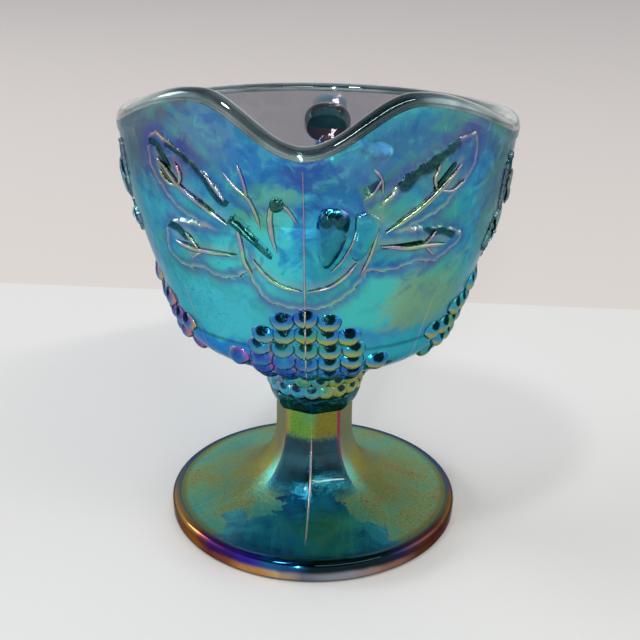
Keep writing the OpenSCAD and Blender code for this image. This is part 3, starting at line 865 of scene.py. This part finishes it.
def curve_through(points, closed=False, n=7):
    """A smooth line through the points."""
    p = np.array(points, float)
    before, after = (p[-1:], p[:2]) if closed else (2 * p[:1] - p[1:2], 2 * p[-1:] - p[-2:-1])
    p = np.concatenate([before, p, after])
    out = []
    for a, b, c, d in zip(p[:-3], p[1:-2], p[2:-1], p[3:]):
        t = np.linspace(0, 1, n, endpoint=False)[:, None]
        square, cube = 2 * a - 5 * b + 4 * c - d, 3 * b - a - 3 * c + d
        out.append(0.5 * (2 * b + (c - a) * t + square * t**2 + cube * t**3))
    return np.concatenate(out) if closed else np.concatenate([*out, p[-2:-1]])


def to_flat(points):
    return np.array(points, float) * (FLAT, 1)


def reach(a, z, line, closed=True):
    """Distance in millimetres to a line, up to 4; for a closed one, positive inside it."""
    q = np.stack([np.ravel(a) * FLAT, np.ravel(z)], -1)
    line = to_flat(line)
    near = np.all((q > line.min(0) - 4) & (q < line.max(0) + 4), 1)
    p = q[near]
    ends = np.roll(line, -1, 0) if closed else line[1:]
    starts = line if closed else line[:-1]
    best = np.full(len(p), 4.0)
    inside = np.zeros(len(p), bool)
    for s, e in zip(starts, ends):
        d = e - s
        t = np.clip(((p - s) @ d) / max(d @ d, 1e-12), 0, 1)
        best = np.minimum(best, np.hypot(p[:, 0] - s[0] - t * d[0], p[:, 1] - s[1] - t * d[1]))
        if closed and d[1]:
            cross = (s[1] > p[:, 1]) != (e[1] > p[:, 1])
            inside ^= cross & (p[:, 0] < s[0] + (p[:, 1] - s[1]) * d[0] / d[1])
    out = np.full(len(q), -4.0 if closed else 4.0)
    out[near] = np.where(inside, best, -best) if closed else best
    return out.reshape(np.shape(a))


def teeth(line, size=0.5, pitch=3.4):
    """A vine leaf's small teeth along an outline."""
    flat = to_flat(line)
    step = np.roll(flat, -1, 0) - np.roll(flat, 1, 0)
    step /= np.maximum(np.hypot(*step.T), 1e-9)[:, None]
    run = np.cumsum(np.hypot(*(np.roll(flat, -1, 0) - flat).T))
    phase = np.mod(run / pitch, 1.0)
    off = size * (phase - 0.5)
    out = np.stack([step[:, 1], -step[:, 0]], -1) * off[:, None]
    return (flat + out) / (FLAT, 1)


# the lobes of the front leaf: measured points, not yet a formula; angle from the spout, height
LOBES = {
    "upper_left": [
        (-46, 101.6), (-46, 96), (-43, 92.9), (-40.5, 90.7), (-37.4, 88.6), (-33, 87.0), (-27, 85.6),
        (-20, 84.0), (-12, 84), (-15, 90), (-20.6, 92.8), (-24.5, 96.4), (-30.6, 99.6), (-36, 102),
        (-42, 104)],
    "lower_left": [
        (-42.7, 84.7), (-45.5, 81), (-46.3, 77.2), (-41, 75.0), (-36.5, 74.9), (-32.3, 75.6),
        (-27, 74.3), (-21, 74.8), (-15, 77.6), (-12, 82), (-18, 86.4), (-27, 86.4), (-36, 86.4)],
    "upper_right": [
        (46, 105.2), (48, 101.7), (47.3, 97.3), (43, 94), (39.4, 90.6), (35, 88.7), (28, 86.6),
        (21, 84.4), (12, 84), (15, 90), (20.6, 93.6), (25, 97.8), (31, 100.4), (38.7, 103.6)],
    "lower_right": [
        (34.5, 86.4), (41, 85.6), (47.6, 83.9), (48.4, 81.6), (44, 79.6), (39.4, 77.9), (33, 78.6),
        (26, 77.4), (20, 77.4), (13, 79), (12, 83), (19, 86.6), (28, 87)],
    "centre": [
        (-17.6, 86.4), (-17.4, 78.4), (-14.8, 73.4), (-11.8, 70.2), (-7, 69.0), (0, 68.4), (6, 69.0),
        (10.6, 70.8), (15.0, 73.8), (18.2, 78.8), (17.8, 86.4), (12, 90), (5, 91.4), (0, 90.6),
        (-5, 91.2), (-12, 90)],
}
OUTLINES = {name: teeth(curve_through(points, True)) for name, points in LOBES.items()}
# ribs: path through measured points, half width, height
RIBS = [
    ([(-41.6, 98.8), (-34.4, 93.7), (-28, 90.9), (-20.5, 87.2)], 0.40, 0.90),
    ([(-41.4, 96.2), (-38.4, 94.0), (-34.4, 93.7)], 0.28, 0.58),
    ([(-35.2, 98.6), (-33.6, 96.2), (-34.4, 93.7)], 0.28, 0.58),
    ([(-40, 81.2), (-35.5, 80.6), (-30.2, 80.2), (-19, 80.6)], 0.40, 0.90),
    ([(-35.6, 83.6), (-33.2, 82.2), (-31.4, 80.3)], 0.27, 0.55),
    ([(-35.6, 77.6), (-32.6, 79.0), (-29.6, 80.2)], 0.27, 0.55),
    ([(41.6, 98.9), (35.1, 94.0), (29, 90.2), (21.4, 86.4)], 0.40, 0.90),
    ([(44.2, 95.6), (40.2, 93.7), (35.6, 94.2)], 0.28, 0.58),
    ([(34.8, 99.4), (33.6, 96.6), (35.1, 94.0)], 0.28, 0.58),
    ([(20.6, 83.4), (28, 82.6), (34.2, 82.6), (41.6, 82.0)], 0.40, 0.86),
    ([(37.6, 85.2), (34.6, 83.4), (33.4, 82.7)], 0.27, 0.55),
    ([(38.2, 79.8), (35.6, 81.4), (34.2, 82.6)], 0.27, 0.55),
    ([(-14.2, 80.0), (-11.4, 77.0), (-7.0, 74.6), (-0.8, 73.4)], 0.30, 0.62),
    ([(14.2, 80.0), (11.4, 77.0), (7.0, 74.6), (0.8, 73.4)], 0.30, 0.62),
    ([(-18.0, 87.2), (-17.2, 83.0), (-16.8, 79.2), (-15.2, 76.6)], 0.34, 0.62),
    ([(19.6, 88.6), (18.8, 84.6), (17.4, 80.2), (15.8, 77.0)], 0.28, 0.50),
]
# tendrils, in the same form
TENDRILS = [
    ([(-20.6, 98.0), (-17.4, 95.2), (-14.2, 93.2), (-12.4, 89.8), (-11.6, 86.6)], 0.32, 0.52),
    ([(-16.2, 100.0), (-15.0, 97.0), (-14.2, 93.2)], 0.27, 0.45),
    ([(-5.4, 91.6), (-6.6, 92.7), (-8.2, 91.2), (-8.8, 87.6), (-7.4, 82.0)], 0.50, 0.85),
    ([(13.2, 90.4), (13.8, 88.0), (12.6, 84.4), (10.0, 80.4), (7.2, 78.0)], 0.22, 0.45),
    ([(-6.4, 92.6), (-4.2, 91.6), (-1.6, 88.2)], 0.27, 0.45),
    ([(19.2, 97.6), (17.2, 94.8), (14.6, 93.4)], 0.28, 0.45),
    ([(16.6, 99.6), (19.0, 97.4), (19.6, 94.4)], 0.28, 0.45),
]
# plump folds: outline through measured points, how far in the crown starts, height
FOLDS = [([(-8.8, 91.2), (-8.0, 93.6), (-5.6, 93.8), (-4.6, 91.8), (-6.6, 90.6)], 0.9, 0.9),
         ([(-20.2, 88.6), (-18.0, 88.9), (-12.5, 85.2), (-8.6, 81.6), (-9.4, 80.6), (-14.0, 83.6),
           (-19.6, 87.0)], 1.3, 1.25),
         ([(2.4, 89.6), (4.6, 92.2), (9.4, 92.4), (12.6, 89.8), (12.0, 85.4), (9.6, 80.8), (6.6, 78.2),
           (3.8, 79.2), (2.4, 84)], 3.4, 1.5),
         ([(13.4, 90.6), (19.2, 90.0), (19.6, 86.4), (16.4, 81.6), (13.8, 80.4), (12.0, 82.6),
           (13.0, 86.6)], 1.0, 0.75)]
# hollows pressed beside the lobes and painted dark as shade: path through measured points, half width
SASHES = [
    ([(-38, 101.6), (-32, 99.6), (-27, 96.6), (-23.6, 92.8), (-20.6, 91.4), (-19.4, 95.4)], 0.55),
    ([(-45.6, 101.5), (-41.5, 101.0), (-38, 97.4)], 0.9),
    ([(-36.8, 94.6), (-32.0, 92.0), (-27, 89.6)], 0.45),
    ([(-43, 84.4), (-39, 84.0), (-36, 82.6)], 1.05),
    ([(-39, 80.2), (-34, 79.8), (-22, 80.3)], 0.50),
    ([(25.4, 96.2), (28.5, 98.8), (32, 99.4), (35, 101.4), (39, 103.0)], 1.65),
    ([(34.6, 94.8), (39.6, 99.0)], 0.60),
    ([(33.6, 86.4), (36, 85.2), (40, 84.9), (44.4, 83.4)], 0.80),
    ([(21.6, 83.0), (33, 83.2)], 0.40),
    ([(-39.6, 97.0), (-37.0, 94.8)], 0.9),
]


def fold_height(a, z):
    h = np.full(a.shape, -1.0)
    for outline, crown, high in FOLDS:
        d = np.clip(reach(a, z, curve_through(outline, True)) / crown, -1, 1)
        swell = ease(d + 0.1) if crown > 3 else np.sqrt(np.clip(1 - (1 - d) ** 2, 0, 1))
        h = np.maximum(h, np.where(d < -0.15, -1.0, -0.45 + (high + 0.45) * swell))
    return h


def union_reach(a, z):
    """Distance inside the outline of the whole leaf."""
    return np.max([reach(a, z, line) for line in OUTLINES.values()], 0)


def leaf_relief(a, z):
    """The leaf: a low swelling with a raised line just inside its outline, sinking away at its top middle.
    Height and closeness to the line."""
    d = union_reach(a, z)
    fade = 1 - ease((21 - np.abs(a)) / 4) * ease((z - 84.5) / 5)
    line = np.exp(-(((d - 0.40) / 0.34) ** 2)) * fade
    h = -0.42 + 0.66 * ease((d + 0.45) / 1.0) + 0.30 * line + 0.45 * (1 - np.exp(-np.clip(d, 0, None) / 3))
    h = np.where(d < -0.5, -1.0, h)
    return h - (1 - fade) * 0.9, line


def pressed(a, z):
    """How much a hollow is pressed in at a place, 0 to 1; the finish paints it dark as shade."""
    deep = np.zeros(a.shape)
    for path, half in SASHES:
        d = reach(a, z, curve_through(path), False)
        deep = np.maximum(deep, ease(1.35 - d / half))
    return deep


def patch(name, box, height, step=0.36, turn=0.0):
    """A sheet on the wall: a grid is laid over a box of angles and heights, pushed out to its relief,
    cleared where it would lie inside the glass, and thickened inwards."""
    (a0, z0), (a1, z1) = box
    fresh()
    nx, ny = int((a1 - a0) * FLAT / step), int((z1 - z0) / step)
    bpy.ops.mesh.primitive_grid_add(x_subdivisions=nx, y_subdivisions=ny, size=2)
    piece = bpy.context.object
    piece.name = name
    co = points_of(piece)
    a = a0 + (co[:, 0] + 1) / 2 * (a1 - a0)
    z = z0 + (co[:, 1] + 1) / 2 * (z1 - z0)
    h, line, hollow, shade = height(a, z)
    move_points(piece, on_wall(a + turn, z, h))
    write_marks(piece, "relief", np.stack([line, hollow, shade], -1))
    keep = h > -0.40
    for face in piece.data.polygons:
        face.select = not any(keep[i] for i in face.vertices)
    for edge in piece.data.edges:
        edge.select = False
    for v in piece.data.vertices:
        v.select = False
    for face in piece.data.polygons:
        if face.select:
            for i in face.vertices:
                piece.data.vertices[i].select = True
    bpy.ops.object.mode_set(mode="EDIT")
    bpy.ops.mesh.select_mode(type="VERT")
    bpy.ops.mesh.delete(type="VERT")
    bpy.ops.mesh.select_all(action="SELECT")
    bpy.ops.mesh.normals_make_consistent(inside=False)
    bpy.ops.object.mode_set(mode="OBJECT")
    face_out(piece)
    thicken = piece.modifiers.new("thicken", "SOLIDIFY")
    thicken.thickness = 0.7 * MM
    thicken.offset = -1
    bpy.ops.object.modifier_apply(modifier=thicken.name)
    return smooth(piece, 60)


def face_out(piece):
    """An open sheet's faces are turned to look away from the axis."""
    total = sum(f.center.x * f.normal.x + f.center.y * f.normal.y for f in piece.data.polygons)
    if total < 0:
        bpy.ops.object.mode_set(mode="EDIT")
        bpy.ops.mesh.select_all(action="SELECT")
        bpy.ops.mesh.flip_normals()
        bpy.ops.object.mode_set(mode="OBJECT")


def lobe_box(name, more=2.0):
    p = OUTLINES[name]
    return (p[:, 0].min() - more, p[:, 1].min() - more), (p[:, 0].max() + more, p[:, 1].max() + more)


def leaf_surface(a, z, name=None):
    h, line = leaf_relief(a, z)
    if name:
        h = np.where(reach(a, z, OUTLINES[name]) < -0.5, -1.0, h)
    hollow = pressed(a, z)
    h = np.where(h > -0.9, h - 0.30 * hollow, h)
    d = union_reach(a, z)
    fade = 1 - ease((24 - np.abs(a)) / 6) * ease((z - 82) / 5)
    shade = np.maximum(np.exp(-(((d - 1.5) / 0.8) ** 2)), np.exp(-(((d + 0.3) / 0.35) ** 2))) * fade * 0.8
    below = np.full(a.shape, 9.0)
    above = np.full(a.shape, 9.0)
    for path, half, high in RIBS:
        path = curve_through(path)
        below = np.minimum(below, reach(a, z + 0.7, path, False))
        above = np.minimum(above, reach(a, z - 0.9, path, False))
    shade = np.maximum(shade, np.exp(-((below / 0.8) ** 2)) * 0.6)
    line = np.maximum(line, np.exp(-((above / 0.9) ** 2)) * 0.30)
    return h, line * (1 - hollow), hollow, shade


def rib(name, paths, under, turn=0.0, mark=1.0):
    """Raised lines: each a bevelled curve laid on what is under it, and made a mesh."""
    lines = []
    for path, half, high in paths:
        p = curve_through(path, False, 12)
        half, high = half * 1.25, high * 0.9
        stand = np.maximum(under(p[:, 0], p[:, 1]), 0) + high - half
        lines.append((on_wall(p[:, 0] + turn, p[:, 1], stand), half))
    return strands(name, lines, mark)


def strands(name, lines, mark=1.0):
    """Round cords along lines of points, joined into one piece."""
    made = []
    for q, half in lines:
        data = bpy.data.curves.new(name, "CURVE")
        data.dimensions = "3D"
        data.bevel_depth = half * MM
        data.bevel_resolution = 3
        data.use_fill_caps = True
        line = data.splines.new("POLY")
        line.points.add(len(q) - 1)
        t = np.linspace(0, 1, len(q))
        for point, place_at, k in zip(line.points, q, np.minimum(1, 0.25 + 4 * np.minimum(t, 1 - t))):
            point.co = (*place_at, 1)
            point.radius = k
        strand = bpy.data.objects.new(name, data)
        bpy.context.scene.collection.objects.link(strand)
        made.append(strand)
    pick(*made)
    bpy.ops.object.convert(target="MESH")
    piece = joined(made, name)
    close_up(piece)
    write_marks(piece, "relief", np.tile([mark, 0, 0], (len(piece.data.vertices), 1)))
    return smooth(piece, 60)


def under_leaf(a, z):
    return leaf_surface(a, z)[0]


def make_front_leaf():
    for name in LOBES:
        piece = patch("leaf_" + name, lobe_box(name), lambda a, z, n=name: leaf_surface(a, z, n))
        finish_piece(piece, [film, ghost], "film_bowl", "leaf_" + name)
        sort_inside(piece, 2)

    def folds(a, z):
        h = fold_height(a, z)
        base = np.maximum(under_leaf(a, z), 0)
        top = h + base
        lump = np.zeros(a.shape)
        for ma, mz in ((5.2, 90.2), (9.8, 89.8)):
            lump = np.maximum(lump, np.exp(-(((a - ma) / 2.3) ** 2) - ((z - mz) / 1.9) ** 2))
        # Painted on the folds: dark reflections on their tops, the lumps and the right bean's body; a painted
        # highlight along the bean's right edge (lit); painted shade round their edges.
        body = 0.34 * ease((12.6 - a) / 1.5)
        dark = ease((h - 0.1) * 1.6) * np.where(a < 0, 1.0, np.maximum(ease(lump * 1.5), body))
        edge = np.exp(-(((h - 0.1) / 0.3) ** 2))
        lit = edge * np.where(a < 0, 0.2, ease((a - 8) / 3) * 0.45)
        top = top + 0.55 * lump * (h > 0.2)
        return np.where(h < -0.44, -1.0, top), lit, dark * 0.9, edge * (1 - lit) * 0.25
    piece = patch("leaf_folds", ((-22, 77), (22, 95)), folds, 0.30)
    finish_piece(piece, [film, ghost], "film_bowl", "leaf_folds")
    sort_inside(piece, 2)
    finish_piece(rib("front_veins", RIBS, under_leaf, 0, 0.9), film, "film_bowl", "front_veins")
    finish_piece(rib("front_tendrils", TENDRILS, under_leaf, 0, 0.8), film, "film_bowl", "front_tendrils")


NARROW, LOW = 0.44, 0.80   # a side leaf beside the front one


def lowered(a, z):
    """The relief of a side leaf: the front one's, narrowed and lowered."""
    h, line, hollow, shade = leaf_surface(a / NARROW, (z - 85) / LOW + 88)
    # the raised parts also get the hollow mark, so they are painted dark as shade
    return np.where(h > -0.3, h * 1.15, h), line * 0.5, np.maximum(hollow, 0.45 * (h > 0.35)), shade


def make_side_leaves():
    for side, turn in (("left", -90.0), ("right", 90.0)):
        piece = patch("side_leaf_" + side, ((-23, 70), (23, 99.5)), lowered, 0.28, turn)
        finish_piece(piece, [film, ghost], "film_bowl", "side_leaf_" + side)
        sort_inside(piece, 2)
    ribs = [([(a * NARROW, (z - 88) * LOW + 85) for a, z in path], half, high) for path, half, high in RIBS]
    left = rib("side_veins", ribs, lambda a, z: lowered(a, z)[0], -90.0, 0.5)
    right = rib("side_veins_right", ribs, lambda a, z: lowered(a, z)[0], 90.0, 0.5)
    finish_piece(joined([left, right], "side_veins"), film, "film_bowl", "side_veins")


# ---------------------------------------------------------------- grapes
BERRY_R, NECK_BERRY_R, SUNK = 2.45, 2.05, 0.28
# rows of a bunch: height, number of grapes, degrees between them, how far the ends stand higher
FRONT_ROWS = [(66.4, 3, 7.6, -0.9), (62.2, 5, 7.4, -0.6), (58.0, 5, 8.6, 0.2), (54.2, 5, 8.6, 0.9),
              (50.6, 5, 9.2, 1.4), (47.6, 5, 9.8, 1.5)]
SIDE_ROWS = [(67, 5, 7.2, -0.5), (62.8, 8, 7.2, -0.2), (58.6, 11, 7.4, 0), (54.6, 8, 7.8, 0),
             (50.8, 7, 9, 0), (47.6, 5, 11.5, 0)]
BACK_ROWS = [(57, 5, 8, 0), (53.2, 6, 8, 0.2), (50, 5, 9.2, 0.2), (47.6, 5, 11, 0)]
BUNCHES = {"front_grapes": (FRONT_ROWS, 0), "left_grapes": (SIDE_ROWS, -90),
           "right_grapes": (SIDE_ROWS, 90), "back_grapes": (BACK_ROWS, 180)}
GRAPE_SHAPE = np.array([1.20, 1.12, 0.80])   # across, up and out, in radii


def row_places(rows, middle):
    out = []
    for z, count, step, rise in rows:
        for i in range(count):
            k = i - (count - 1) / 2
            out.append((middle + k * step, z + rise * abs(k) / max((count - 1) / 2, 1)))
    return out


def make_berries(name, places, material, radius):
    """One grape is shaped on a ball, then copied to each of its places and turned to stand off the wall."""
    fresh()
    bpy.ops.mesh.primitive_uv_sphere_add(segments=20, ring_count=14, radius=1)
    seed = bpy.context.object
    shape = points_of(seed)
    made = []
    for a, z in places:
        copy = seed.copy()
        copy.data = seed.data.copy()
        bpy.context.scene.collection.objects.link(copy)
        stands = np.array([-SUNK * radius, 0.0, 1.0])
        here, low, high = on_wall(np.full(3, float(a)), np.full(3, float(z)), stands)
        out = (high - low) / np.linalg.norm(high - low)
        across = np.array([math.cos(math.radians(a)), math.sin(math.radians(a)), 0])
        up = np.cross(out, across)
        # the lower lip stands out further than the top, as on a scale
        local = shape * GRAPE_SHAPE * radius * MM
        off = local[:, 2] * (1 - 0.10 * shape[:, 1]) - 0.26 * shape[:, 1] * radius * MM
        co = here + local[:, :1] * across + local[:, 1:2] * up + off[:, None] * out
        move_points(copy, co)
        write_marks(copy, "berry", shape)
        made.append(copy)
    bpy.data.objects.remove(seed)
    finish_piece(smooth(joined(made, name), 80), material, "film_grapes", name)


def make_grapes():
    for name, (rows, middle) in BUNCHES.items():
        make_berries(name, row_places(rows, middle), berry_film, BERRY_R)
    lone = [(side * a, 54.2) for a in (27.5, 152.5) for side in (-1, 1)]
    make_berries("lone_grapes", lone, berry_film, BERRY_R)
    neck = []
    for height, count, first in ((37.2, 20, 0), (40.8, 20, 9), (44.2, 24, 0)):
        neck += [(360 // count * k + first, height) for k in range(count)]
    make_berries("neck_grapes", neck, neck_berry_film, NECK_BERRY_R)


# ---------------------------------------------------------------- mould seams
def grape_height(a, z):
    """How far the grapes stand off the wall at a place."""
    h = np.zeros(a.shape)
    for rows, middle in BUNCHES.values():
        for ma, mz in row_places(rows, middle):
            u = (a - ma) * math.radians(1) * body_radius(z) / (1.04 * BERRY_R)
            v = (z - mz) / (0.92 * BERRY_R)
            h = np.maximum(h, 0.92 * BERRY_R * np.sqrt(np.clip(1 - u * u - v * v, 0, None)) - SUNK * BERRY_R)
    return h


def make_seams():
    """One seam down the front over the relief, and two faint ones on the plain wall beside it."""
    def top(a, z):
        return np.max([under_leaf(a, z), fold_height(a, z) + 0.5, grape_height(a, z), np.zeros(a.shape)], 0)

    lines = [([(0.0, z) for z in np.linspace(101.0, 46.2, 60)], 0.16, 0.33)]
    for side in (45.0, -45.0):
        lines.append(([(side, z) for z in np.linspace(72.0, 47.0, 14)], 0.10, 0.07))
    finish_piece(rib("bowl_seams", lines, top), film, "film_bowl", "bowl_seams")


def make_stem_seams():
    """Front and back, down the stem, over the flare and along the foot."""
    down = [(STEM_R - 0.22, STEM_TOP - 0.4), *stem_flare()]
    disc = [(r, z) for r, z in FOOT_TOP if stem_flare()[-1, 0] + 1 < r < FOOT_R - 2.6]
    line = np.array([*down, *disc])
    sunk = line - (0.10, 0.10)
    lines = [(place(np.full(len(sunk), float(turn)), sunk[:, 0], sunk[:, 1]), 0.24) for turn in (0, 180)]
    finish_piece(strands("stem_seams", lines), foot_film, "film_foot", "stem_seams")


make_foot()
make_stem()
make_stem_seams()
make_collar()
make_neck()
make_bowl()
make_rim()
make_handle()
make_front_leaf()
make_side_leaves()
make_grapes()
make_seams()


# ---------------------------------------------------------------- floor, light
def make_stage():
    fresh()
    bpy.ops.mesh.primitive_grid_add(x_subdivisions=2, y_subdivisions=2, size=30)
    floor = bpy.context.object
    floor.name = "floor"
    f = Finish("table_top")
    p, x, y, z = f.place()
    beyond = (y + x * 0.026).step(157.0, 158.5)
    colour = f.mix(beyond, (0.765, 0.77, 0.77), (0.72, 0.675, 0.655))
    floor.data.materials.append(f.done(f.skin(Base_Color=colour, Roughness=0.6)))


def lamp(name, place_at, aim, size, watts, colour=(1, 1, 1)):
    data = bpy.data.lights.new(name, "AREA")
    data.shape = "RECTANGLE"
    data.size, data.size_y = size
    data.energy = watts
    data.color = colour
    light = bpy.data.objects.new(name, data)
    light.location = place_at
    light.rotation_euler = (Vector(aim) - Vector(place_at)).to_track_quat("-Z", "Y").to_euler()
    bpy.context.scene.collection.objects.link(light)


def make_light():
    """A pale room: bright low down, a dim ceiling, dark over the front, and a few small lamps."""
    world = bpy.data.worlds.new("room")
    bpy.context.scene.world = world
    room = Finish("room", world)
    x, y, z = room.parts(room.add("ShaderNodeTexCoord", out=0))
    light = room.ramp(z * 0.5 + 0.5, [
        (0.0, (0.70, 0.70, 0.70)), (0.498, (0.60, 0.59, 0.58)), (0.55, (1.0, 0.98, 0.96)),
        (0.66, (0.95, 0.94, 0.93)), (0.80, (0.50, 0.50, 0.51)), (1.0, (0.34, 0.34, 0.36))])
    over = (y * -0.60 + z * 0.80 + x * 0.05).step(0.62, 0.92)
    light = room.mix(over * 0.93, light, (0.02, 0.025, 0.03))
    side = (abs(x) * 0.92 + z * 0.35).step(0.86, 0.98) * z.step(0.0, 0.10)
    light = room.mix(side, light, (1.9, 1.95, 2.0))
    room.done(room.add("ShaderNodeBackground", {}, {"Color": light, "Strength": 1.06}))
    lamp("ceiling_lamp", (-0.42, -0.62, 1.5), (0, 0, 0.05), (0.12, 0.24), 4.6)
    lamp("tube_lamp", (0.55, -0.75, 1.15), (0, 0, 0.1), (1.1, 0.06), 6, (1.0, 0.92, 0.80))
    lamp("window_front", (-0.30, -2.4, 0.60), (0, 0, 0.09), (0.07, 1.2), 18)
    lamp("window_left", (-1.6, 0.3, 0.9), (0, 0, 0.08), (0.5, 0.7), 7)


make_stage()
make_light()
